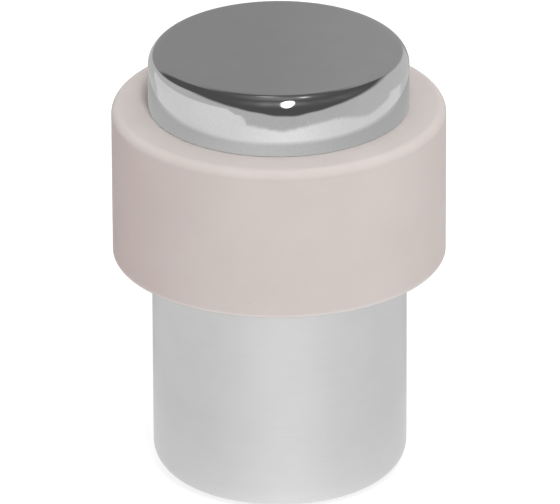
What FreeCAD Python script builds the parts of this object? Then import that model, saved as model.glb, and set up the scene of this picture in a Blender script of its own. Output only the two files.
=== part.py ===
"""Floor door stop: a satin post with a rubber buffer ring and a polished screw-on cap.

The post is a stainless shell rolled over a die-cast core. A wood screw goes down through the
core into a plug in the floor. The cap screws into the core's neck, hides the screw and keeps
the ring on the neck. Origin on the axis at floor level, +Z up, millimetres.
"""
import FreeCAD, Part
import math
import os
import re

import Sketcher

SIZES = {
    # whole object, from the floor up
    "total_height": 40.0,
    "post_height": 20.6,
    "post_diameter": 22.6,
    "ring_diameter": 29.5,
    "cap_diameter": 23.0,
    "cap_height": 5.4,
    # shell
    "shell_wall": 1.0,
    "lip_height": 2.6,
    "lip_diameter": 17.6,
    "foot_round": 2.1,
    "shell_top_round": 0.3,
    # core
    "neck_diameter": 18.4,
    "core_floor": 5.0,
    "screw_way": 5.5,
    "core_bore": 10.4,
    "tapped_depth": 14.0,
    "small_chamfer": 0.4,
    # pad under the core
    "pad_thickness": 1.0,
    "pad_hole": 9.0,
    # ring
    "ring_play": 0.05,
    "ring_top_round": 0.5,
    "ring_foot_round": 0.2,
    "ring_bore_chamfer": 0.5,
    # cap and its stud
    "cap_round": 1.6,
    "cap_foot_round": 0.2,
    "cap_hole_depth": 3.4,
    "stud_diameter": 12.0,
    "stud_pitch": 1.5,
    "stud_length": 16.0,
    "stud_chamfer": 0.9,
    "thread_depth": 0.85,
    "thread_play": 0.05,
    "thread_run_out": 0.2,
    "crest_flat": 0.12,
    "stud_key": 6.0,
    "stud_key_depth": 5.0,
    # split spring washer under the cap
    "spring_thickness": 2.5,
    "spring_outer": 18.0,
    "spring_inner": 12.3,
    "spring_split": 1.2,
    "spring_slant": 1.4,
    # fixing screw and its washer
    "screw_length": 40.0,
    "screw_diameter": 5.0,
    "screw_core": 3.4,
    "screw_pitch": 2.2,
    "screw_tip": 5.0,
    "screw_plain": 9.0,
    "screw_plain_diameter": 4.8,
    "screw_plain_cone": 0.6,
    "screw_thread_root": 1.1,
    "screw_thread_sink": 0.3,
    "head_diameter": 9.4,
    "head_height": 3.4,
    "head_round": 1.6,
    "recess_diameter": 3.2,
    "recess_lobe": 0.95,
    "recess_circle": 3.5,
    "recess_depth": 2.2,
    "washer_thickness": 1.0,
    "washer_outer": 10.0,
    "washer_inner": 5.3,
    # plug in the floor
    "plug_diameter": 8.0,
    "plug_length": 32.0,
    "plug_sunk": 0.5,
    "plug_collar": 9.0,
    "plug_bore": 5.1,
    "plug_tooth": 3.0,
    "plug_tooth_depth": 0.6,
    "plug_slot": 0.9,
    "plug_end_ring": 3.0,
}
PLUG_TEETH = 6
RECESS_LOBES = 6
PLUG_SLOTS = 4
TOUCH = 1e-4  # how near two lengths or volumes are when they count as the same

# Heights and radii that several pieces share, as expressions on the sheet.
POST_R = "post_diameter/2"
SHELL_IN_R = "(post_diameter/2 - shell_wall)"
NECK_R = "neck_diameter/2"
BORE_R = "core_bore/2"
STUD_R = "stud_diameter/2"
CAP_FOOT = "(total_height - cap_height)"
SPRING_FOOT = "(total_height - cap_height - ring_play - spring_thickness)"
NECK_TOP = "(total_height - cap_height - 2*ring_play - spring_thickness)"
SCREW_SEAT = "(pad_thickness + core_floor)"

doc = FreeCAD.newDocument("floor_door_stop")
sheet = doc.addObject("Spreadsheet::Sheet", "sizes")
for row, (alias, number) in enumerate(SIZES.items(), start=1):
    sheet.set(f"A{row}", alias)
    sheet.set(f"B{row}", str(number))
    sheet.setAlias(f"B{row}", alias)
doc.recompute()


def on_sheet(text):
    """An expression whose words are cells of the sheet."""
    return re.sub(r"[a-z_]{3,}", lambda word: "sizes." + word.group(), text)


def size(text):
    """The number that such an expression has now."""
    return float(sheet.evalExpression(on_sheet(text)))


def new_body(label, foot="0"):
    """An empty body whose own origin stands at the height foot."""
    body = doc.addObject("PartDesign::Body", label)
    body.Label = label
    body.setExpression("Placement.Base.z", on_sheet(foot))
    return body


def new_sketch(body, name, role, shift="0", axis="z"):
    """An empty sketch on one of the body's origin planes, shifted along one of its own axes."""
    sketch = body.newObject("Sketcher::SketchObject", name)
    plane = next(item for item in body.Origin.OriginFeatures if item.Role == role)
    sketch.AttachmentSupport = (plane, [""])
    sketch.MapMode = "FlatFace"
    if shift != "0":
        sketch.setExpression("AttachmentOffset.Base." + axis, on_sheet(shift))
    return sketch


def pin_point(sketch, line, index, across, up):
    """Ties a line's start to the sketch's axes or to sizes on the sheet."""
    for kind, axis, text in (("X", -2, across), ("Y", -1, up)):
        if text == "0":
            sketch.addConstraint(Sketcher.Constraint("PointOnObject", line, 1, axis))
            continue
        name = f"{kind}_{index}"
        number = sketch.addConstraint(
            Sketcher.Constraint("Distance" + kind, -1, 1, line, 1, size(text))
        )
        sketch.renameConstraint(number, name)
        sketch.setExpression("Constraints." + name, on_sheet(text))


def draw_outline(sketch, corners):
    """A closed outline of straight lines through corners, each a pair of expressions."""
    points = [FreeCAD.Vector(size(across), size(up), 0) for across, up in corners]
    lines = [
        sketch.addGeometry(Part.LineSegment(point, points[(index + 1) % len(points)]), False)
        for index, point in enumerate(points)
    ]
    for index, line in enumerate(lines):
        following = lines[(index + 1) % len(lines)]
        sketch.addConstraint(Sketcher.Constraint("Coincident", line, 2, following, 1))
    for index, (across, up) in enumerate(corners):
        pin_point(sketch, lines[index], index, across, up)


def draw_hexagon(sketch, width):
    """A hexagon about the sketch's origin, of the given width across its flats."""
    half = width + "/2"
    short = f"{width}/{2 * math.sqrt(3):.6f}"
    draw_outline(sketch, [
        (half, "-" + short),
        (half, short),
        ("0", "2*" + short),
        ("-" + half, short),
        ("-" + half, "-" + short),
        ("0", "-2*" + short),
    ])


def draw_circle(sketch, radius, across="0"):
    """A circle whose centre lies on the sketch's first axis."""
    centre = FreeCAD.Vector(size(across), 0, 0)
    circle = sketch.addGeometry(Part.Circle(centre, FreeCAD.Vector(0, 0, 1), size(radius)), False)
    number = sketch.addConstraint(Sketcher.Constraint("Radius", circle, size(radius)))
    sketch.renameConstraint(number, "round")
    sketch.setExpression("Constraints.round", on_sheet(radius))
    if across == "0":
        sketch.addConstraint(Sketcher.Constraint("Coincident", circle, 3, -1, 1))
        return
    sketch.addConstraint(Sketcher.Constraint("PointOnObject", circle, 3, -1))
    number = sketch.addConstraint(
        Sketcher.Constraint("DistanceX", -1, 1, circle, 3, size(across))
    )
    sketch.renameConstraint(number, "out")
    sketch.setExpression("Constraints.out", on_sheet(across))


def turned(label, foot, corners):
    """A body turned about its axis from an outline of (radius, height) corners."""
    body = new_body(label, foot)
    sketch = new_sketch(body, label + "_outline", "XZ_Plane")
    draw_outline(sketch, corners)
    turning = body.newObject("PartDesign::Revolution", label + "_turning")
    turning.Profile = sketch
    turning.ReferenceAxis = (sketch, ["V_Axis"])
    turning.Angle = 360
    doc.recompute()
    return body


def round_edges(body, kind, amount, places):
    """Fillets or chamfers the round edges at the given (radius, height) places of a body."""
    tip = body.Tip
    wanted = [(size(radius), size(height)) for radius, height in places]
    names = []
    for number, edge in enumerate(tip.Shape.Edges, start=1):
        if not isinstance(edge.Curve, Part.Circle):
            continue
        here = (edge.Curve.Radius, edge.Curve.Center.z)
        if any(abs(here[0] - r) < TOUCH and abs(here[1] - z) < TOUCH for r, z in wanted):
            names.append(f"Edge{number}")
    if len(names) < len(places):
        raise RuntimeError(f"{body.Label}: {len(names)} edges found for {len(places)} places")
    feature = body.newObject("PartDesign::" + kind, f"{body.Label}_{kind.lower()}")
    feature.Base = (tip, names)
    feature.setExpression("Radius" if kind == "Fillet" else "Size", on_sheet(amount))
    doc.recompute()


def pocket(body, sketch, depth, reverse=False):
    """Cuts a sketch into a body and makes sure that it cut something."""
    before = body.Tip.Shape.Volume
    cut = body.newObject("PartDesign::Pocket", sketch.Name + "_pocket")
    cut.Profile = sketch
    cut.Reversed = reverse
    cut.setExpression("Length", on_sheet(depth))
    doc.recompute()
    if cut.Shape.Volume > before - TOUCH:
        raise RuntimeError(f"{cut.Name} cuts nothing")
    return cut


def around(body, feature, count):
    """Repeats a feature evenly round the body's axis."""
    pattern = body.newObject("PartDesign::PolarPattern", feature.Name + "_pattern")
    pattern.Originals = [feature]
    axis = next(item for item in body.Origin.OriginFeatures if item.Role == "Z_Axis")
    pattern.Axis = (axis, [""])
    pattern.Angle = 360
    pattern.Occurrences = count
    body.Tip = pattern
    doc.recompute()
    return pattern


def thread(body, kind, corners, pitch, height, start="0"):
    """Adds or cuts a helical thread whose section is an outline of (radius, height) corners."""
    sketch = new_sketch(body, body.Label + "_thread_section", "XZ_Plane", start, "y")
    draw_outline(sketch, corners)
    doc.recompute()
    helix = body.newObject("PartDesign::" + kind, body.Label + "_thread")
    helix.Profile = sketch
    helix.ReferenceAxis = (sketch, ["V_Axis"])
    helix.Mode = 0
    helix.setExpression("Pitch", on_sheet(pitch))
    helix.setExpression("Height", on_sheet(height))
    doc.recompute()
    return helix


def make_post_shell():
    """Stainless tube: rounded foot rolled in under the core, top turned in round the neck."""
    body = turned("post_shell", "0", [
        ("lip_diameter/2", "0"),
        (POST_R, "0"),
        (POST_R, "post_height"),
        (NECK_R, "post_height"),
        (NECK_R, "post_height - shell_wall"),
        (SHELL_IN_R, "post_height - shell_wall"),
        (SHELL_IN_R, "lip_height"),
        ("lip_diameter/2", "lip_height"),
    ])
    round_edges(body, "Fillet", "foot_round", [(POST_R, "0")])
    round_edges(body, "Fillet", "shell_top_round", [(POST_R, "post_height")])
    return body


def make_core():
    """Die-cast core: fills the shell, carries the ring on its neck, holds screw and stud."""
    body = turned("core", "pad_thickness", [
        ("screw_way/2", "0"),
        ("lip_diameter/2", "0"),
        ("lip_diameter/2", "lip_height - pad_thickness"),
        (SHELL_IN_R, "lip_height - pad_thickness"),
        (SHELL_IN_R, "post_height - shell_wall - pad_thickness"),
        (NECK_R, "post_height - shell_wall - pad_thickness"),
        (NECK_R, NECK_TOP + " - pad_thickness"),
        (STUD_R + " + thread_play", NECK_TOP + " - pad_thickness"),
        (STUD_R + " + thread_play", NECK_TOP + " - pad_thickness - tapped_depth"),
        (BORE_R, NECK_TOP + " - pad_thickness - tapped_depth"),
        (BORE_R, "core_floor"),
        ("screw_way/2", "core_floor"),
    ])
    round_edges(body, "Chamfer", "small_chamfer", [
        (NECK_R, NECK_TOP + " - pad_thickness"),
        (STUD_R + " + thread_play", NECK_TOP + " - pad_thickness"),
    ])
    return body


def make_base_pad():
    """Flat rubber pad inside the shell's lip, flush with the foot."""
    return turned("base_pad", "0", [
        ("pad_hole/2", "0"),
        ("lip_diameter/2", "0"),
        ("lip_diameter/2", "pad_thickness"),
        ("pad_hole/2", "pad_thickness"),
    ])


def make_fixing_screw():
    """Pan-head wood screw: its foot is the tip, its thread ends below the plain neck."""
    head_foot = "screw_length"
    body = turned("fixing_screw", SCREW_SEAT + " + washer_thickness - screw_length", [
        ("0", "0"),
        ("screw_core/2", "screw_tip"),
        ("screw_core/2", "screw_length - screw_plain"),
        ("screw_plain_diameter/2", "screw_length - screw_plain + screw_plain_cone"),
        ("screw_plain_diameter/2", head_foot),
        ("head_diameter/2", head_foot),
        ("head_diameter/2", head_foot + " + head_height"),
        ("0", head_foot + " + head_height"),
    ])
    round_edges(body, "Fillet", "head_round", [("head_diameter/2", head_foot + " + head_height")])
    recess = new_sketch(body, "recess_centre", "XY_Plane", head_foot + " + head_height")
    draw_circle(recess, "recess_diameter/2")
    pocket(body, recess, "recess_depth")
    lobe = new_sketch(body, "recess_lobe", "XY_Plane", head_foot + " + head_height")
    draw_circle(lobe, "recess_lobe/2", "recess_circle/2")
    around(body, pocket(body, lobe, "recess_depth"), RECESS_LOBES)
    crest = "screw_tip - screw_thread_root/2"
    thread(body, "AdditiveHelix", [
        ("screw_core/2 - screw_thread_sink", crest + " - screw_thread_root/2"),
        ("screw_diameter/2", crest + " - crest_flat/2"),
        ("screw_diameter/2", crest + " + crest_flat/2"),
        ("screw_core/2 - screw_thread_sink", crest + " + screw_thread_root/2"),
    ], "screw_pitch", "screw_length - screw_plain - screw_tip")
    return body


def make_screw_washer():
    """Flat washer between the screw's head and the core's floor."""
    return turned("screw_washer", SCREW_SEAT, [
        ("washer_inner/2", "0"),
        ("washer_outer/2", "0"),
        ("washer_outer/2", "washer_thickness"),
        ("washer_inner/2", "washer_thickness"),
    ])


def make_wall_plug():
    """Nylon plug: a plain collar on top, sawtooth barbs below it, four slots up from the end ring."""
    corners = [("plug_bore/2", "0")]
    for tooth in range(PLUG_TEETH):
        foot = f"{tooth}*plug_tooth" if tooth else "0"
        corners.append(("plug_diameter/2 - plug_tooth_depth", foot))
        corners.append(("plug_diameter/2", f"{tooth + 1}*plug_tooth"))
    corners.append(("plug_diameter/2", "plug_length"))
    corners.append(("plug_bore/2", "plug_length"))
    body = turned("wall_plug", "-plug_sunk - plug_length", corners)
    slot = new_sketch(body, "plug_slot", "YZ_Plane")
    draw_outline(slot, [
        ("-plug_slot/2", "plug_end_ring"),
        ("plug_slot/2", "plug_end_ring"),
        ("plug_slot/2", "plug_length - plug_collar"),
        ("-plug_slot/2", "plug_length - plug_collar"),
    ])
    around(body, pocket(body, slot, "plug_diameter"), PLUG_SLOTS)
    return body


def make_buffer_ring():
    """Rubber ring on the neck, with room to turn."""
    ring_top = CAP_FOOT + " - post_height - 2*ring_play"
    body = turned("buffer_ring", "post_height + ring_play", [
        (NECK_R + " + ring_play", "0"),
        ("ring_diameter/2", "0"),
        ("ring_diameter/2", ring_top),
        (NECK_R + " + ring_play", ring_top),
    ])
    round_edges(body, "Fillet", "ring_top_round", [("ring_diameter/2", ring_top)])
    round_edges(body, "Fillet", "ring_foot_round", [("ring_diameter/2", "0")])
    round_edges(body, "Chamfer", "ring_bore_chamfer", [
        (NECK_R + " + ring_play", "0"),
        (NECK_R + " + ring_play", ring_top),
    ])
    return body


def make_cap_washer():
    """Split spring washer round the stud, between the neck and the cap."""
    body = turned("cap_washer", SPRING_FOOT, [
        ("spring_inner/2", "0"),
        ("spring_outer/2", "0"),
        ("spring_outer/2", "spring_thickness"),
        ("spring_inner/2", "spring_thickness"),
    ])
    split = new_sketch(body, "spring_split", "XZ_Plane")
    draw_outline(split, [
        ("0", "0"),
        ("spring_split", "0"),
        ("spring_split + spring_slant", "spring_thickness"),
        ("spring_slant", "spring_thickness"),
    ])
    pocket(body, split, "spring_outer")
    return body


def make_cap_stud():
    """Grub screw bonded into the cap, socket end down."""
    body = turned("cap_stud", CAP_FOOT + " + cap_hole_depth - stud_length", [
        ("0", "0"),
        (STUD_R, "0"),
        (STUD_R, "stud_length"),
        ("0", "stud_length"),
    ])
    round_edges(body, "Chamfer", "stud_chamfer", [(STUD_R, "0"), (STUD_R, "stud_length")])
    key = new_sketch(body, "stud_key", "XY_Plane")
    draw_hexagon(key, "stud_key")
    pocket(body, key, "stud_key_depth", reverse=True)
    thread(body, "SubtractiveHelix", [
        (STUD_R + " - thread_depth", "stud_pitch/2"),
        (STUD_R + " + thread_run_out", "crest_flat/2"),
        (STUD_R + " + thread_run_out", "stud_pitch - crest_flat/2"),
    ], "stud_pitch", "stud_length + stud_pitch", "-stud_pitch")
    return body


def make_top_cap():
    """Polished turned cap: round-edged disc with a blind hole for the stud."""
    body = turned("top_cap", CAP_FOOT, [
        ("0", "cap_hole_depth"),
        (STUD_R + " + thread_play", "cap_hole_depth"),
        (STUD_R + " + thread_play", "0"),
        ("cap_diameter/2", "0"),
        ("cap_diameter/2", "cap_height"),
        ("0", "cap_height"),
    ])
    round_edges(body, "Fillet", "cap_round", [("cap_diameter/2", "cap_height")])
    round_edges(body, "Fillet", "cap_foot_round", [("cap_diameter/2", "0")])
    return body


def check_all():
    """Stops if any object failed or any body has no valid solid."""
    doc.recompute()
    for item in doc.Objects:
        if {"Invalid", "Error"} & set(item.State):
            raise RuntimeError(f"{item.Label} failed: {item.State}")
    for body in bodies:
        if body.Shape.isNull() or not body.Shape.isValid() or len(body.Shape.Solids) != 1:
            raise RuntimeError(f"{body.Label} is not one valid solid")


bodies = [
    make_post_shell(),
    make_core(),
    make_base_pad(),
    make_fixing_screw(),
    make_screw_washer(),
    make_wall_plug(),
    make_buffer_ring(),
    make_cap_washer(),
    make_cap_stud(),
    make_top_cap(),
]
check_all()
os.makedirs("parts", exist_ok=True)
for body in bodies:
    body.Shape.exportStep(f"parts/{body.Label}.step")
    box = body.Shape.BoundBox
    print(f"{body.Label}: {body.Shape.Volume:.1f} mm3, z {box.ZMin:.2f} to {box.ZMax:.2f}")
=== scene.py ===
"""Looks of the floor door stop: satin post, pale rubber buffer ring, mirror-polished cap.

Everything is in metres, in the CAD frame: +Z up, the origin on the axis at floor level.
"""
import math

import bmesh
import bpy
from mathutils import Matrix, Vector


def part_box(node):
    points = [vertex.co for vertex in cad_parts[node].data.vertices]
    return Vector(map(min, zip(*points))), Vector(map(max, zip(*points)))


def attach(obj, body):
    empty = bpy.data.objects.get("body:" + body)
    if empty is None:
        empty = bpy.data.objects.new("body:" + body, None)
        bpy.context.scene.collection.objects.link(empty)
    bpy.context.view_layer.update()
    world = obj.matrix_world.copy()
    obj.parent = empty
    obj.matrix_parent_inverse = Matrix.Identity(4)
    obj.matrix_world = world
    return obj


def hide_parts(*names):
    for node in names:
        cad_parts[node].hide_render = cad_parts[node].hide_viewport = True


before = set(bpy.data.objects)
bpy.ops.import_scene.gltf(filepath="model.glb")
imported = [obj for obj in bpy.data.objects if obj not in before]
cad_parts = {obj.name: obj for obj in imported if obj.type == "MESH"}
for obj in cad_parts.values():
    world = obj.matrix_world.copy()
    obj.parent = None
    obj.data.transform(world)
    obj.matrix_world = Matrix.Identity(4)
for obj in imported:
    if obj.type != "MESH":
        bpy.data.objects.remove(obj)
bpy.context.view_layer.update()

MM = 0.001
AROUND = 256  # facets round each turned piece
ARC_STEPS = 14  # facets along each rounded edge
SUPPORT = 0.02 * MM  # how far a rounded edge's holding loops lie from it
ON_AXIS = 1e-9  # a radius below this is a point on the axis
SHARP_ANGLE = math.radians(40)  # edges that turn by more than this stay sharp


# ---------------------------------------------------------------- sizes, from the frame

def high(node):
    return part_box(node)[1].z


def low(node):
    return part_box(node)[0].z


def radius(node):
    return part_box(node)[1].x


POST_R = radius("post_shell")
POST_TOP = high("post_shell")
RING_R = radius("buffer_ring")
CAP_R = radius("top_cap")
CAP_FOOT = low("top_cap")
CAP_TOP = high("top_cap")
CLEARANCE = 0.05 * MM  # between a bore and the piece in it
NECK_R = 9.2 * MM  # the core's neck, which the ring turns on
RING_BORE_R = NECK_R + CLEARANCE
LIP_R = radius("base_pad")
STUD_HOLE_R = radius("cap_stud") + CLEARANCE
STUD_TOP = CAP_FOOT + 3.4 * MM
WALL = 1.0 * MM  # of the post's tube
LIP_TOP = 2.6 * MM  # of the foot's rolled-in edge
CAP_ROUND = 1.6 * MM
CAP_FOOT_ROUND = 0.08 * MM
RING_TOP_ROUND = 0.8 * MM
RING_FOOT_ROUND = 0.2 * MM
RING_BORE_ROUND = 0.4 * MM
FOOT_ROUND = 2.1 * MM
SHELL_ROUND = 0.3 * MM


# ---------------------------------------------------------------- turned meshes

def rounded_profile(corners):
    """Points of an outline of (radius, height, rounding) corners, with arcs and holding loops."""
    count = len(corners)
    points = []
    for index, (r, z, rounding) in enumerate(corners):
        here = Vector((r, z))
        if not rounding:
            points.append(here)
            continue
        before = (Vector(corners[index - 1][:2]) - here).normalized()
        after = (Vector(corners[(index + 1) % count][:2]) - here).normalized()
        half = before.angle(after) / 2
        reach = rounding / math.tan(half)
        centre = here + (before + after).normalized() * rounding / math.sin(half)
        start = here + before * reach - centre
        turn = math.pi - 2 * half
        if before.x * after.y - before.y * after.x > 0:
            turn = -turn
        points.append(here + before * (reach + SUPPORT))
        for step in range(ARC_STEPS + 1):
            angle = turn * step / ARC_STEPS
            points.append(centre + Matrix.Rotation(angle, 2) @ start)
        points.append(here + after * (reach + SUPPORT))
    return points


def turned_piece(name, corners):
    """A smooth mesh of revolution about Z from a closed outline of the section."""
    mesh = bpy.data.meshes.new(name)
    bm = bmesh.new()
    rings = []
    for r, z in rounded_profile(corners):
        if r < ON_AXIS:
            rings.append([bm.verts.new((0, 0, z))])
            continue
        rings.append([
            bm.verts.new((r * math.cos(angle), r * math.sin(angle), z))
            for angle in (2 * math.pi * step / AROUND for step in range(AROUND))
        ])
    for one, two in zip(rings, rings[1:] + rings[:1]):
        if len(one) == 1 and len(two) == 1:
            continue
        for step in range(AROUND):
            following = (step + 1) % AROUND
            if len(one) == 1:
                bm.faces.new((one[0], two[following], two[step]))
            elif len(two) == 1:
                bm.faces.new((one[step], one[following], two[0]))
            else:
                bm.faces.new((one[step], one[following], two[following], two[step]))
    bmesh.ops.recalc_face_normals(bm, faces=bm.faces)
    for face in bm.faces:
        face.smooth = True
    bm.to_mesh(mesh)
    bm.free()
    mesh.set_sharp_from_angle(angle=SHARP_ANGLE)
    piece = bpy.data.objects.new(name, mesh)
    bpy.context.scene.collection.objects.link(piece)
    return piece


# ---------------------------------------------------------------- material nodes

class Look:
    """A Principled material with short ways to add noise, ramps and bumps.

    Places and marks are in millimetres, so a noise scale is a number of marks per millimetre.
    """

    def __init__(self, name, **values):
        self.material = bpy.data.materials.new(name)
        self.material.use_nodes = True
        self.nodes = self.material.node_tree.nodes
        self.links = self.material.node_tree.links
        self.shader = self.nodes["Principled BSDF"]
        for socket, value in values.items():
            self.shader.inputs[socket.replace("_", " ")].default_value = value
        self.place = self.nodes.new("ShaderNodeTexCoord").outputs["Object"]

    def mapped(self, stretch):
        """Object coordinates in millimetres, stretched along each axis."""
        node = self.nodes.new("ShaderNodeMapping")
        node.inputs["Scale"].default_value = [factor / MM for factor in stretch]
        self.links.new(self.place, node.inputs["Vector"])
        return node.outputs["Vector"]

    def round_about(self, along, upward):
        """(angle, radius, height) coordinates about Z, for marks that run round a turned piece."""
        split = self.nodes.new("ShaderNodeSeparateXYZ")
        self.links.new(self.place, split.inputs[0])
        angle = self.math("ARCTAN2", split.outputs["Y"], split.outputs["X"])
        across = self.math("MULTIPLY", split.outputs["X"], split.outputs["X"])
        across = self.math("MULTIPLY_ADD", split.outputs["Y"], split.outputs["Y"], across)
        across = self.math("SQRT", across)
        joined = self.nodes.new("ShaderNodeCombineXYZ")
        self.links.new(self.math("MULTIPLY", angle, along), joined.inputs["X"])
        self.links.new(self.math("MULTIPLY", across, upward / MM), joined.inputs["Y"])
        self.links.new(self.math("MULTIPLY", split.outputs["Z"], upward / MM), joined.inputs["Z"])
        return joined.outputs[0]

    def math(self, operation, *inputs):
        node = self.nodes.new("ShaderNodeMath")
        node.operation = operation
        for index, value in enumerate(inputs):
            if isinstance(value, (int, float)):
                node.inputs[index].default_value = value
            else:
                self.links.new(value, node.inputs[index])
        return node.outputs[0]

    def noise(self, vector, scale, detail=3.0, roughness=0.5, distortion=0.0):
        node = self.nodes.new("ShaderNodeTexNoise")
        node.inputs["Scale"].default_value = scale
        node.inputs["Detail"].default_value = detail
        node.inputs["Roughness"].default_value = roughness
        node.inputs["Distortion"].default_value = distortion
        self.links.new(vector, node.inputs["Vector"])
        return node.outputs["Fac"]

    def specks(self, vector, scale, size):
        """Round spots, 1 at their middle and 0 outside, one in each cell."""
        node = self.nodes.new("ShaderNodeTexVoronoi")
        node.inputs["Scale"].default_value = scale
        self.links.new(vector, node.inputs["Vector"])
        return self.spread(node.outputs["Distance"], 0.0, size, 1.0, 0.0)

    def spread(self, value, low_in, high_in, low_out, high_out):
        node = self.nodes.new("ShaderNodeMapRange")
        node.inputs["From Min"].default_value = low_in
        node.inputs["From Max"].default_value = high_in
        node.inputs["To Min"].default_value = low_out
        node.inputs["To Max"].default_value = high_out
        self.links.new(value, node.inputs["Value"])
        return node.outputs["Result"]

    def ramp(self, value, stops):
        node = self.nodes.new("ShaderNodeValToRGB")
        ramp = node.color_ramp
        while len(ramp.elements) < len(stops):
            ramp.elements.new(0.5)
        for element, (place, colour) in zip(ramp.elements, stops):
            element.position = place
            element.color = (*colour, 1.0)
        self.links.new(value, node.inputs["Fac"])
        return node.outputs["Color"]

    def blend(self, amount, one, two, kind="MIX"):
        node = self.nodes.new("ShaderNodeMix")
        node.data_type = "RGBA"
        node.blend_type = kind
        factor, first, second = node.inputs[0], node.inputs[6], node.inputs[7]
        for socket, value in ((factor, amount), (first, one), (second, two)):
            if isinstance(value, (int, float)):
                socket.default_value = value
            elif isinstance(value, tuple):
                socket.default_value = (*value, 1.0)
            else:
                self.links.new(value, socket)
        return node.outputs[2]

    def bump(self, height, strength, depth, under=None):
        """Adds a bump of the given depth in metres; under is the bump below it."""
        node = self.nodes.new("ShaderNodeBump")
        node.inputs["Strength"].default_value = strength
        node.inputs["Distance"].default_value = depth
        self.links.new(height, node.inputs["Height"])
        if under is not None:
            self.links.new(under, node.inputs["Normal"])
        return node.outputs["Normal"]

    def feed(self, socket, value):
        self.links.new(value, self.shader.inputs[socket])


def polished_steel():
    """Mirror-polished stainless steel: fine grain, hairlines, a little haze, rare pinholes."""
    look = Look("polished_steel", Metallic=1.0)
    fine = look.mapped((1, 1, 1))
    cloud = look.noise(fine, 0.35, detail=2.0)
    tone = look.ramp(cloud, [(0.3, (0.71, 0.712, 0.712)), (0.7, (0.735, 0.736, 0.736))])
    grain = look.noise(look.mapped((5.0, 5.0, 5.0)), 1.0, detail=4.0, roughness=0.7)
    grain = look.ramp(grain, [(0.3, (0.94, 0.94, 0.94)), (0.7, (1.0, 1.0, 1.0))])
    look.feed("Base Color", look.blend(1.0, tone, grain, "MULTIPLY"))
    hairs = look.noise(look.mapped((9.0, 0.35, 9.0)), 1.0, detail=4.0, roughness=0.65, distortion=0.4)
    haze = look.spread(cloud, 0.3, 0.7, 0.018, 0.03)
    marks = look.spread(hairs, 0.62, 0.74, 0.0, 0.03)
    look.feed("Roughness", look.math("ADD", haze, marks))
    pits = look.specks(fine, 0.42, 0.035)
    wave = look.bump(look.noise(fine, 0.22, detail=1.0), 0.25, 0.004 * MM)
    scratch = look.bump(hairs, 0.05, 0.004 * MM, wave)
    look.feed("Normal", look.bump(pits, 0.35, -0.02 * MM, scratch))
    return look.material


def satin_steel():
    """Satin stainless tube: fine brushing round the tube, soft blotches, light handling marks."""
    look = Look("satin_steel", Metallic=1.0, Anisotropic=0.55)
    tangent = look.nodes.new("ShaderNodeTangent")
    tangent.direction_type = "RADIAL"
    tangent.axis = "Z"
    look.feed("Tangent", tangent.outputs[0])
    brushed = look.round_about(2.2, 26.0)
    grain = look.noise(brushed, 1.0, detail=5.0, roughness=0.7)
    blotch = look.noise(look.mapped((1, 1, 1)), 0.3, detail=3.0)
    tone = look.ramp(blotch, [(0.25, (0.67, 0.671, 0.67)), (0.75, (0.705, 0.705, 0.703))])
    streaks = look.ramp(grain, [(0.3, (0.93, 0.93, 0.93)), (0.7, (1.0, 1.0, 1.0))])
    look.feed("Base Color", look.blend(1.0, tone, streaks, "MULTIPLY"))
    rough = look.spread(grain, 0.3, 0.7, 0.34, 0.42)
    worn = look.spread(blotch, 0.3, 0.7, -0.02, 0.02)
    look.feed("Roughness", look.math("ADD", rough, worn))
    look.feed("Normal", look.bump(grain, 0.25, 0.01 * MM))
    return look.material


def pale_rubber():
    """Smooth pale rubber: faint pinkish mottling, a matt moulded skin, a few dust specks.

    Light is painted into its colour too: painted shade makes its top a little greyer, a painted
    highlight runs round its foot as a pale line, and painted shade makes its left side darker and
    pinker.
    """
    look = Look("pale_rubber", IOR=1.46, Subsurface_Weight=0.25, Subsurface_Scale=1.2 * MM)
    look.shader.inputs["Subsurface Radius"].default_value = (1.0, 0.72, 0.62)
    fine = look.mapped((1, 1, 1))
    mottle = look.noise(fine, 0.11, detail=4.0, roughness=0.55)
    body = look.ramp(mottle, [(0.3, (0.65, 0.574, 0.546)), (0.7, (0.685, 0.62, 0.59))])
    dark = look.specks(fine, 0.23, 0.028)
    body = look.blend(look.math("MULTIPLY", dark, 0.35), body, (0.36, 0.31, 0.29))
    pale = look.specks(look.mapped((0.9, 1.07, 1.02)), 0.31, 0.03)
    body = look.blend(look.math("MULTIPLY", pale, 0.4), body, (0.86, 0.84, 0.82))
    split = look.nodes.new("ShaderNodeSeparateXYZ")
    look.links.new(look.round_about(1.0, 1.0), split.inputs[0])
    ring_top, ring_foot = CAP_FOOT / MM, POST_TOP / MM
    # Painted shade: the top of the ring is painted a little darker and greyer.
    top = look.spread(split.outputs["Z"], ring_top - 1.1, ring_top - 0.3, 0.0, 1.0)
    body = look.blend(top, body, (0.925, 0.94, 0.945), "MULTIPLY")
    # Painted highlight: a pale line is painted round the ring's foot edge.
    foot = look.spread(split.outputs["Z"], ring_foot + 0.36, ring_foot + 0.16, 0.0, 0.8)
    body = look.blend(foot, body, (0.80, 0.765, 0.755))
    sideways = look.nodes.new("ShaderNodeSeparateXYZ")
    look.links.new(fine, sideways.inputs[0])
    # Painted shade: the ring's left side, below its top, is painted darker and pinker.
    painted_left_shade = look.spread(sideways.outputs["X"], -13.5, -7.0, 1.0, 0.0)
    below = look.spread(split.outputs["Z"], ring_top - 0.4, ring_top - 1.2, 0.0, 1.0)
    painted_left_shade = look.math("MULTIPLY", painted_left_shade, below)
    look.feed("Base Color", look.blend(painted_left_shade, body, (0.97, 0.90, 0.905), "MULTIPLY"))
    skin = look.noise(fine, 9.0, detail=2.0)
    rough = look.spread(mottle, 0.3, 0.7, 0.72, 0.80)
    look.feed("Roughness", look.math("ADD", rough, look.spread(skin, 0.3, 0.7, -0.03, 0.03)))
    soft = look.bump(look.noise(fine, 0.3, detail=2.0), 0.2, 0.02 * MM)
    look.feed("Normal", look.bump(skin, 0.12, 0.012 * MM, soft))
    return look.material


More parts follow.
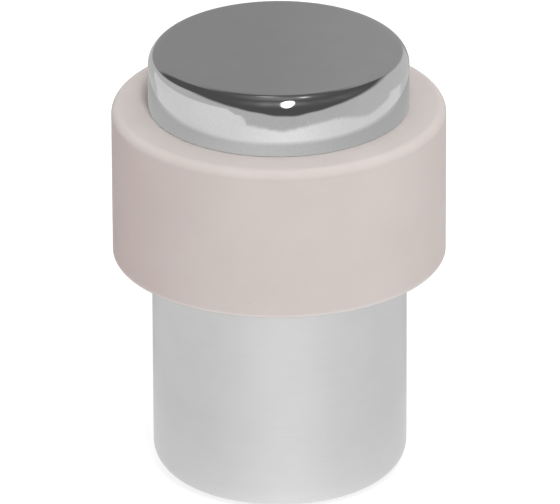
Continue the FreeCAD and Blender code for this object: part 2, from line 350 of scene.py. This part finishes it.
def die_cast():
    """Die-cast zinc: grainy matt grey skin."""
    look = Look("die_cast", Metallic=0.9)
    fine = look.mapped((1, 1, 1))
    grain = look.noise(fine, 4.0, detail=4.0, roughness=0.65)
    look.feed("Base Color", look.ramp(grain, [(0.3, (0.40, 0.41, 0.42)), (0.7, (0.56, 0.57, 0.58))]))
    look.feed("Roughness", look.spread(grain, 0.3, 0.7, 0.42, 0.6))
    look.feed("Normal", look.bump(grain, 0.4, 0.03 * MM))
    return look.material


def plated_steel(name, pale, deep, roughness):
    """Plated or plain hardware steel, with turning marks round the axis and a mottled tone."""
    look = Look(name, Metallic=1.0)
    rings = look.noise(look.round_about(0.8, 9.0), 1.0, detail=3.0)
    mottle = look.noise(look.mapped((1, 1, 1)), 0.8, detail=4.0)
    look.feed("Base Color", look.ramp(mottle, [(0.3, deep), (0.7, pale)]))
    look.feed("Roughness", look.spread(rings, 0.3, 0.7, roughness - 0.07, roughness + 0.08))
    look.feed("Normal", look.bump(rings, 0.2, 0.012 * MM))
    return look.material


def moulded(name, pale, deep, roughness, grain_scale):
    """Moulded plastic or rubber with a fine skin."""
    look = Look(name)
    fine = look.mapped((1, 1, 1))
    skin = look.noise(fine, grain_scale, detail=3.0)
    look.feed("Base Color", look.ramp(look.noise(fine, 0.6), [(0.3, deep), (0.7, pale)]))
    look.feed("Roughness", look.spread(skin, 0.3, 0.7, roughness - 0.06, roughness + 0.06))
    look.feed("Normal", look.bump(skin, 0.25, 0.02 * MM))
    return look.material


# ---------------------------------------------------------------- pieces

def dress(piece, material):
    piece.data.materials.clear()
    piece.data.materials.append(material)


def add_piece(name, corners, body, node, material):
    """A turned piece that rides on a body and stands for a CAD node."""
    piece = turned_piece(name, corners)
    dress(piece, material)
    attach(piece, body)
    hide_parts(node)
    return piece


add_piece("cap_polished", [
    (0, STUD_TOP, 0),
    (STUD_HOLE_R, STUD_TOP, 0),
    (STUD_HOLE_R, CAP_FOOT, 0.2 * MM),
    (CAP_R, CAP_FOOT, CAP_FOOT_ROUND),
    (CAP_R, CAP_TOP, CAP_ROUND),
    (0, CAP_TOP, 0),
], "cap", "top_cap", polished_steel())

add_piece("ring_rubber", [
    (RING_BORE_R, POST_TOP, RING_BORE_ROUND),
    (RING_R, POST_TOP, RING_FOOT_ROUND),
    (RING_R, CAP_FOOT, RING_TOP_ROUND),
    (RING_BORE_R, CAP_FOOT, RING_BORE_ROUND),
], "ring", "buffer_ring", pale_rubber())

add_piece("post_satin", [
    (LIP_R, 0, 0),
    (POST_R, 0, FOOT_ROUND),
    (POST_R, POST_TOP, SHELL_ROUND),
    (NECK_R, POST_TOP, 0),
    (NECK_R, POST_TOP - WALL, 0),
    (POST_R - WALL, POST_TOP - WALL, SHELL_ROUND),
    (POST_R - WALL, LIP_TOP, SHELL_ROUND),
    (LIP_R, LIP_TOP, 0),
], "post", "post_shell", satin_steel())

zinc = plated_steel("zinc_plated", (0.72, 0.73, 0.76), (0.60, 0.61, 0.64), 0.26)
for node, material in {
    "core": die_cast(),
    "base_pad": moulded("black_rubber", (0.05, 0.05, 0.052), (0.03, 0.03, 0.03), 0.7, 7.0),
    "fixing_screw": zinc,
    "screw_washer": zinc,
    "cap_stud": zinc,
    "cap_washer": plated_steel("spring_steel", (0.42, 0.42, 0.43), (0.30, 0.30, 0.31), 0.34),
    "wall_plug": moulded("nylon", (0.62, 0.62, 0.60), (0.56, 0.56, 0.54), 0.45, 4.0),
}.items():
    dress(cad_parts[node], material)


# ---------------------------------------------------------------- studio

DOME_LEVEL = 0.67  # light from all round on matt surfaces
DOME_SLOPE = 0.16  # brighter to the right, darker to the left
DARK_LEVEL = 0.095  # what mirrors see between the panels
SECOND_HAND = 0.3  # how strongly mirrors pass the panels' light on to matt surfaces
FLOOR_GLOW = 0.80  # what the camera sees the floor send out
FLOOR_LIGHT = 0.30  # what the floor sends to the object
FLOOR_TONE = 0.36
FLOOR_REACH = 6.0
SHEET_SIDES = 240  # facets round each sheet that only reflections see
SHEET_GAP = 0.02 * MM  # such a sheet's height above what it stands for
FLOOR_RINGS = (8.5, 12, 14, 16, 18, 20, 22, 25, 28, 31, 36, 42, 60, 600)  # radii in mm
RING_STEPS = 12  # narrow rings along the buffer ring's rounded edge
TENT_HEIGHT = CAP_TOP - 2 * MM
TENT_RADIUS = 70 * MM
TENT_FOOT = -22  # elevation of the tent's lower edge, in degrees
TENT_BEND = -20  # fine steps below this elevation, whole degrees above it
FINE_STEPS = 20
TENT_TOP = 90
LAMP_ACROSS = 0.10  # sine of the painted lamp's turn to the right
LAMP_LIFT = 50  # its elevation in degrees
LAMP_WIDTH = 0.065
LAMP_HEIGHT = 18
LAMP_LEVEL = 5.0
KEY_PLACE = Vector((0.062, -0.332, 0.534))
KEY_SIZE = (0.095, 0.31)
KEY_POWER = 1.85
KEY_AIM = Vector((0, 0, 0.03))
SENSOR = 36.0
LENS = 623.7
CAMERA_AWAY = 861 * MM  # from the point on the axis that it circles
CAMERA_HEIGHT = 16.86 * MM  # of that point
CAMERA_LIFT = math.radians(25.10)
CAMERA_TILT = math.radians(-0.201)
CAMERA_PAN = math.radians(0.004)
CAMERA_ROLL = math.radians(-0.234)


def ease(value, start, end):
    """0 up to start and 1 from end on, with a smooth step between; end may be the lower one."""
    share = min(max((value - start) / (end - start), 0.0), 1.0)
    return share * share * (3 - 2 * share)


def hump(value, middle, width):
    """A bell of height 1."""
    return math.exp(-((value - middle) / width) ** 2)


# The panels of the studio are painted on a tent round the cap. Each function below gives a
# panel's level at an angle a (degrees from the front, positive to the right) and an
# elevation e (degrees above the cap); the brightest panel shows.


def grey_wall(a, e):
    """A grey wall right round, hidden in front by whoever takes the picture."""
    apart = abs(a - 7) / 30
    ripple = 1.5 * math.sin(a / 3.1) * hump(a, 5, 40)
    top = 38 - 53 * math.exp(-apart * apart / (1 + apart)) + ripple
    left_edge = -150 + 2 * e
    right_edge = 156 - 0.95 * max(e, 0)
    ends = ease(a, left_edge - 7, left_edge + 7) * ease(a, right_edge + 9, right_edge - 9)
    level = 0.575 + 0.045 * ease(a, 30, 100)
    return level * ease(e, top + 8, top - 7) * ends


def white_board(a, e):
    """A low white board on the left."""
    near_edge = -39 + 0.3 * max(-1 - e, 0) + 8 * ease(e, -19.6, -20.7)
    ends = ease(a, -132, -125) * ease(a, near_edge + 2, near_edge - 2)
    return (0.77 + 0.10 * ease(a, -115, -45)) * ease(e, 15, -1) * ends


def back_wall(a, e):
    """A darker grey wall behind, a little lighter on the right."""
    lighter = 0.045 * ease(a % 360, 183, 170)
    return (0.32 + lighter) * ease(e, 74, 50) * ease(abs(a), 115, 127)


def side_card(a, e):
    """A small white card low on the right."""
    return 0.80 * ease(a, 96, 110) * ease(a, 122, 116) * ease(e, -16.5, -20.5)


def lamp_haze(a, e):
    """The lamp, and a faint streaky haze round it."""
    streaks = 1 + 0.35 * math.sin(0.8 * e + 0.12 * a) + 0.2 * math.sin(0.31 * a)
    haze = 0.17 * hump(a, -1, 27) * hump(e, 51, 13) + 0.05 * hump(a, 62, 26) * hump(e, 44, 12)
    across = math.sin(math.radians(a)) * math.cos(math.radians(e))
    apart = math.hypot((across - LAMP_ACROSS) / LAMP_WIDTH, (e - LAMP_LIFT) / LAMP_HEIGHT)
    lamp = ease(apart, 1.3, 0.8) if abs(a) < 90 else 0.0
    return DARK_LEVEL + haze * streaks + LAMP_LEVEL * lamp


def ceiling(a, e):
    """A dim ceiling with two small lights."""
    one = hump(a % 360, 196, 14) * hump(e, 76, 2.2)
    two = hump(a, 104, 22) * hump(e, 79, 2.0)
    return DARK_LEVEL + 0.17 * hump(e, 90, 15) + 0.8 * one + 1.0 * two


def table_edge(a, e):
    """The white table top as far as it hides the foot of the tent."""
    edge = -20.75 - 0.25 * hump(a, 3, 14) - 1.0 * ease(a, 45, 85)
    return floor_level(a, 1.0) * ease(e, edge + 0.06, edge - 0.06)


def floor_level(a, distance):
    """The table top as mirrors see it: brightest in front, grey behind."""
    level = 0.80 + 0.24 * hump(a, 5, 38) + 0.03 * ease(a, 20, 70)
    level *= 1 + 0.07 * ease(distance, 25 * MM, 14 * MM) * (1 - 0.6 * hump(a, 4, 42))
    level *= 1 - 0.03 * hump(distance, 28 * MM, 6 * MM)
    return level - 0.2 * ease(abs(a), 124, 134)


def ring_level(a, distance):
    """The top of the buffer ring as the cap sees it."""
    rim = 0.22 * ease(distance, RING_R - 1.0 * MM, RING_R - 0.1 * MM) * ease(abs(a), 100, 50)
    return 0.53 + 0.15 * hump(a, -4, 36) + rim - 0.07 * ease(abs(a), 70, 110)


def tent_level(a, e):
    parts = (grey_wall, white_board, back_wall, side_card, lamp_haze, ceiling, table_edge)
    return max(part(a, e) for part in parts)


def glow_by_vertex(name):
    """An emission whose level is stored in the mesh; clear from behind."""
    material = bpy.data.materials.new(name)
    material.use_nodes = True
    nodes = material.node_tree.nodes
    links = material.node_tree.links
    nodes.clear()
    stored = nodes.new("ShaderNodeAttribute")
    stored.attribute_name = "level"
    emission = nodes.new("ShaderNodeEmission")
    path = nodes.new("ShaderNodeLightPath")
    strength = nodes.new("ShaderNodeMapRange")
    strength.inputs["To Min"].default_value = 1.0
    strength.inputs["To Max"].default_value = SECOND_HAND
    links.new(path.outputs["Diffuse Depth"], strength.inputs["Value"])
    links.new(strength.outputs["Result"], emission.inputs["Strength"])
    clear = nodes.new("ShaderNodeBsdfTransparent")
    side = nodes.new("ShaderNodeNewGeometry")
    mixed = nodes.new("ShaderNodeMixShader")
    output = nodes.new("ShaderNodeOutputMaterial")
    links.new(stored.outputs["Color"], emission.inputs["Color"])
    links.new(side.outputs["Backfacing"], mixed.inputs[0])
    links.new(emission.outputs[0], mixed.inputs[1])
    links.new(clear.outputs[0], mixed.inputs[2])
    links.new(mixed.outputs[0], output.inputs[0])
    return material


def add_stage(name, vertices, faces, material):
    mesh = bpy.data.meshes.new(name)
    mesh.from_pydata(vertices, [], faces)
    mesh.materials.append(material)
    thing = bpy.data.objects.new(name, mesh)
    bpy.context.scene.collection.objects.link(thing)
    return thing


def add_reflected(name, rows, level_at):
    """A sheet right round the object that shows only in reflections.

    rows are the distances and heights of its rings, with the value that level_at gets after the
    angle; the angle is in degrees from the front, positive to the right.
    """
    vertices = []
    levels = []
    for distance, z, value in rows:
        for side in range(SHEET_SIDES):
            angle = 360 * side / SHEET_SIDES - 180
            turn = math.radians(angle)
            vertices.append((distance * math.sin(turn), -distance * math.cos(turn), z))
            levels.append(level_at(angle, value))
    faces = []
    for row in range(len(rows) - 1):
        for side in range(SHEET_SIDES):
            one = row * SHEET_SIDES + side
            two = row * SHEET_SIDES + (side + 1) % SHEET_SIDES
            faces.append((one, one + SHEET_SIDES, two + SHEET_SIDES, two))
    sheet = add_stage(name, vertices, faces, glow_by_vertex(name))
    stored = sheet.data.color_attributes.new("level", "FLOAT_COLOR", "POINT")
    for item, level in zip(stored.data, levels):
        item.color = (level, level, level, 1.0)
    sheet.visible_camera = False
    sheet.visible_diffuse = False
    sheet.visible_shadow = False
    sheet.visible_transmission = False


def add_tent():
    """The tent with its painted panels; the table's edge hides its foot, so that is finer."""
    fine = [TENT_FOOT + (TENT_BEND - TENT_FOOT) * step / FINE_STEPS for step in range(FINE_STEPS)]
    rows = []
    for e in fine + list(range(TENT_BEND, TENT_TOP + 1)):
        lift = math.radians(e)
        rows.append((TENT_RADIUS * math.cos(lift), TENT_HEIGHT + TENT_RADIUS * math.sin(lift), e))
    add_reflected("tent", rows, tent_level)


def add_floor_sheet():
    """The table top as mirrors see it."""
    distances = [d * MM for d in FLOOR_RINGS]
    add_reflected("floor_sheet", [(d, SHEET_GAP, d) for d in distances], floor_level)


def add_ring_sheet():
    """The buffer ring's top as mirrors see it."""
    distances = [CAP_R + 0.1 * MM]
    distances += [RING_R - (1.2 - 0.1 * step) * MM for step in range(RING_STEPS)]
    add_reflected("ring_sheet", [(d, CAP_FOOT + SHEET_GAP, d) for d in distances], ring_level)


def add_floor():
    """A wide pale table top."""
    look = Look("pale_floor", Roughness=0.9)
    look.shader.inputs["Emission Color"].default_value = (1.0, 1.0, 1.0, 1.0)
    seen = look.nodes.new("ShaderNodeLightPath").outputs["Is Camera Ray"]
    look.feed("Emission Strength", look.spread(seen, 0.0, 1.0, FLOOR_LIGHT, FLOOR_GLOW))
    grain = look.noise(look.mapped((1, 1, 1)), 0.05)
    tones = ((0.3, FLOOR_TONE), (0.7, FLOOR_TONE + 0.02))
    look.feed("Base Color", look.ramp(grain, [(place, (tone,) * 3) for place, tone in tones]))
    signs = ((-1, -1), (1, -1), (1, 1), (-1, 1))
    corners = [(x * FLOOR_REACH, y * FLOOR_REACH, 0) for x, y in signs]
    add_stage("floor", corners, [(0, 1, 2, 3)], look.material)


def add_world():
    """White all round for the camera and for diffuse light, dark for reflections."""
    world = bpy.data.worlds.new("studio")
    bpy.context.scene.world = world
    world.use_nodes = True
    nodes = world.node_tree.nodes
    links = world.node_tree.links
    background = nodes["Background"]
    path = nodes.new("ShaderNodeLightPath")
    level = nodes.new("ShaderNodeMapRange")
    seen = nodes.new("ShaderNodeMapRange")
    seen.inputs["To Max"].default_value = 1.0
    direction = nodes.new("ShaderNodeTexCoord")
    apart = nodes.new("ShaderNodeSeparateXYZ")
    dome = nodes.new("ShaderNodeMapRange")
    dome.inputs["From Min"].default_value = -1.0
    dome.inputs["To Min"].default_value = DOME_LEVEL * (1 - DOME_SLOPE)
    dome.inputs["To Max"].default_value = DOME_LEVEL * (1 + DOME_SLOPE)
    links.new(direction.outputs["Generated"], apart.inputs[0])
    links.new(apart.outputs["X"], dome.inputs["Value"])
    links.new(dome.outputs["Result"], level.inputs["To Min"])
    level.inputs["To Max"].default_value = DARK_LEVEL
    links.new(path.outputs["Is Glossy Ray"], level.inputs["Value"])
    links.new(path.outputs["Is Camera Ray"], seen.inputs["Value"])
    links.new(level.outputs["Result"], seen.inputs["To Min"])
    links.new(seen.outputs["Result"], background.inputs["Strength"])
    background.inputs["Color"].default_value = (1.0, 1.0, 1.0, 1.0)


def add_key_lamp():
    """A rectangular soft light in front, high and a little to the right."""
    data = bpy.data.lights.new("lamp", "AREA")
    data.shape = "RECTANGLE"
    data.size, data.size_y = KEY_SIZE
    data.energy = KEY_POWER
    lamp = bpy.data.objects.new("lamp", data)
    lamp.location = KEY_PLACE
    lamp.rotation_euler = (KEY_AIM - KEY_PLACE).to_track_quat("-Z", "Y").to_euler()
    lamp.visible_camera = False
    bpy.context.scene.collection.objects.link(lamp)


def add_camera():
    """A long lens, looking down at the stop."""
    data = bpy.data.cameras.new("camera")
    data.sensor_width = SENSOR
    data.lens = LENS
    data.clip_start = 0.01
    data.clip_end = 50.0
    camera = bpy.data.objects.new("camera", data)
    down = CAMERA_LIFT + CAMERA_TILT
    ahead = Vector((0, math.cos(down), -math.sin(down)))
    above = Vector((0, math.sin(down), math.cos(down)))
    aside = Vector((1, 0, 0))
    forward = math.cos(CAMERA_PAN) * ahead + math.sin(CAMERA_PAN) * aside
    aside = math.cos(CAMERA_PAN) * aside - math.sin(CAMERA_PAN) * ahead
    right = math.cos(CAMERA_ROLL) * aside + math.sin(CAMERA_ROLL) * above
    upward = math.cos(CAMERA_ROLL) * above - math.sin(CAMERA_ROLL) * aside
    spin = Matrix((right, upward, -forward)).transposed().to_4x4()
    eye = Vector((0, -CAMERA_AWAY * math.cos(CAMERA_LIFT),
                  CAMERA_HEIGHT + CAMERA_AWAY * math.sin(CAMERA_LIFT)))
    camera.matrix_world = Matrix.Translation(eye) @ spin
    bpy.context.scene.collection.objects.link(camera)
    bpy.context.scene.camera = camera


add_world()
add_floor()
add_floor_sheet()
add_ring_sheet()
add_tent()
add_key_lamp()
add_camera()
bpy.context.scene.view_settings.view_transform = "Standard"
